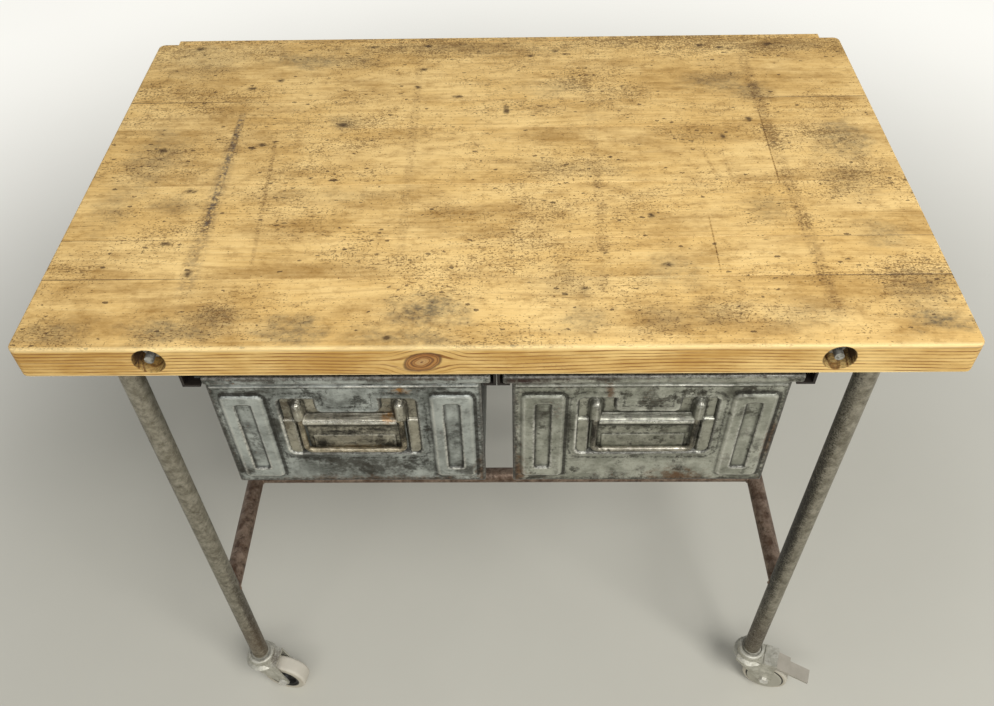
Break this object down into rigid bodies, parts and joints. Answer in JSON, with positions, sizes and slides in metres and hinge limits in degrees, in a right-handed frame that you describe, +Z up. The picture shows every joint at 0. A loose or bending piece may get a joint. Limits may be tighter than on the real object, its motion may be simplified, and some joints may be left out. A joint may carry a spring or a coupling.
{
  "type": "wheeled workbench",
  "caption": "Workbench with a thick laminated wood top on a welded pipe frame with swivel casters, and pressed-steel drawers with drop handles hung under the top.",
  "frame": {"origin": "on the floor, under the centre of the whole bench's bounding box", "axes": "+X along the length to the right as seen from the drawer side, +Y to the back, +Z up"},
  "size_m": [1.0302, 0.63, 0.9],
  "materials": {
    "pine": "worn, oiled and stained",
    "screw_steel": "dull",
    "grey_fastener_steel": "dull, weathered",
    "pipe_steel": "dark mill scale with rust flecks",
    "rail_steel": "dark, oily",
    "drawer_steel": "bare, scratched and rust-spotted",
    "handle_steel": "bare, worn",
    "bail_steel": "worn bright by hands",
    "zinc_plate": "zinc plated, dusty",
    "wheel_plastic": "matt",
    "grey_rubber": "matt, dusty"
  },
  "bodies": {
    "bench": {"top_board_1": "pine", "top_board_2": "pine", "top_board_3": "pine", "top_board_4": "pine", "top_board_5": "pine", "top_board_6": "pine", "rail_screws": "screw_steel", "leg_plate_screws": "screw_steel", "tie_rods": "grey_fastener_steel", "tie_rod_washers": "grey_fastener_steel", "tie_rod_nuts": "grey_fastener_steel", "leg_front_left": "pipe_steel", "leg_front_right": "pipe_steel", "leg_back_left": "pipe_steel", "leg_back_right": "pipe_steel", "leg_plates": "pipe_steel", "side_stretcher_left": "pipe_steel", "side_stretcher_right": "pipe_steel", "upper_side_tube_left": "pipe_steel", "upper_side_tube_right": "pipe_steel", "rail_left_inner": "rail_steel", "rail_left_outer": "rail_steel", "rail_right_inner": "rail_steel", "rail_right_outer": "rail_steel", "back_batten": "pine", "back_batten_screws": "screw_steel", "cross_stretcher": "pipe_steel", "caster_stems": "zinc_plate"},
    "drawer_left": {"drawer_tub_left": "drawer_steel", "drawer_front_left": "drawer_steel", "drawer_lip_left": "drawer_steel", "handle_plate_left": "handle_steel"},
    "bail_left": {"bail_left": "bail_steel"},
    "drawer_right": {"drawer_tub_right": "drawer_steel", "drawer_front_right": "drawer_steel", "drawer_lip_right": "drawer_steel", "handle_plate_right": "handle_steel"},
    "bail_right": {"bail_right": "bail_steel"},
    "fork_front_left": {"caster_fork_front_left": "zinc_plate", "caster_axle_front_left": "zinc_plate"},
    "wheel_front_left": {"wheel_hub_front_left": "wheel_plastic", "wheel_tyre_front_left": "grey_rubber"},
    "fork_front_right": {"caster_fork_front_right": "zinc_plate", "caster_axle_front_right": "zinc_plate", "thread_guards_front_right": "wheel_plastic"},
    "wheel_front_right": {"wheel_hub_front_right": "wheel_plastic", "wheel_tyre_front_right": "grey_rubber"},
    "brake_front_right": {"brake_pedal_front_right": "wheel_plastic"},
    "fork_back_left": {"caster_fork_back_left": "zinc_plate", "caster_axle_back_left": "zinc_plate", "thread_guards_back_left": "wheel_plastic"},
    "wheel_back_left": {"wheel_hub_back_left": "wheel_plastic", "wheel_tyre_back_left": "grey_rubber"},
    "brake_back_left": {"brake_pedal_back_left": "wheel_plastic"},
    "fork_back_right": {"caster_fork_back_right": "zinc_plate", "caster_axle_back_right": "zinc_plate"},
    "wheel_back_right": {"wheel_hub_back_right": "wheel_plastic", "wheel_tyre_back_right": "grey_rubber"}
  },
  "joints": [
    {"name": "drawer_left_slide", "type": "slide", "parent": "bench", "child": "drawer_left", "axis": [0, -1, 0], "range_m": [0, 0.35]},
    {"name": "bail_left_hinge", "type": "hinge", "parent": "drawer_left", "child": "bail_left", "pos_m": [-0.169, -0.2964, 0.76], "axis": [-1, 0, 0], "range_deg": [0, 90]},
    {"name": "drawer_right_slide", "type": "slide", "parent": "bench", "child": "drawer_right", "axis": [0, -1, 0], "range_m": [0, 0.35]},
    {"name": "bail_right_hinge", "type": "hinge", "parent": "drawer_right", "child": "bail_right", "pos_m": [0.169, -0.2964, 0.76], "axis": [-1, 0, 0], "range_deg": [0, 90]},
    {"name": "swivel_front_left", "type": "hinge", "parent": "bench", "child": "fork_front_left", "pos_m": [-0.4135, -0.27, 0.095], "axis": [0, 0, 1], "continuous": true},
    {"name": "wheel_front_left_spin", "type": "hinge", "parent": "fork_front_left", "child": "wheel_front_left", "pos_m": [-0.37926, -0.27728, 0.0375], "axis": [0.2079, 0.9781, 0], "continuous": true},
    {"name": "swivel_front_right", "type": "hinge", "parent": "bench", "child": "fork_front_right", "pos_m": [0.41655, -0.261, 0.095], "axis": [0, 0, 1], "continuous": true},
    {"name": "wheel_front_right_spin", "type": "hinge", "parent": "fork_front_right", "child": "wheel_front_right", "pos_m": [0.44944, -0.27297, 0.0375], "axis": [0.342, 0.9397, 0], "continuous": true},
    {"name": "brake_front_right_press", "type": "hinge", "parent": "fork_front_right", "child": "brake_front_right", "pos_m": [0.45414, -0.27468, 0.084], "axis": [0.342, 0.9397, 0], "range_deg": [0, 10]},
    {"name": "swivel_back_left", "type": "hinge", "parent": "bench", "child": "fork_back_left", "pos_m": [-0.4135, 0.26, 0.095], "axis": [0, 0, 1], "continuous": true},
    {"name": "wheel_back_left_spin", "type": "hinge", "parent": "fork_back_left", "child": "wheel_back_left", "pos_m": [-0.4485, 0.26, 0.0375], "axis": [0, -1, 0], "continuous": true},
    {"name": "brake_back_left_press", "type": "hinge", "parent": "fork_back_left", "child": "brake_back_left", "pos_m": [-0.4535, 0.26, 0.084], "axis": [0, -1, 0], "range_deg": [0, 10]},
    {"name": "swivel_back_right", "type": "hinge", "parent": "bench", "child": "fork_back_right", "pos_m": [0.4135, 0.26, 0.095], "axis": [0, 0, 1], "continuous": true},
    {"name": "wheel_back_right_spin", "type": "hinge", "parent": "fork_back_right", "child": "wheel_back_right", "pos_m": [0.3826, 0.27643, 0.0375], "axis": [-0.4695, -0.8829, 0], "continuous": true}
  ]
}
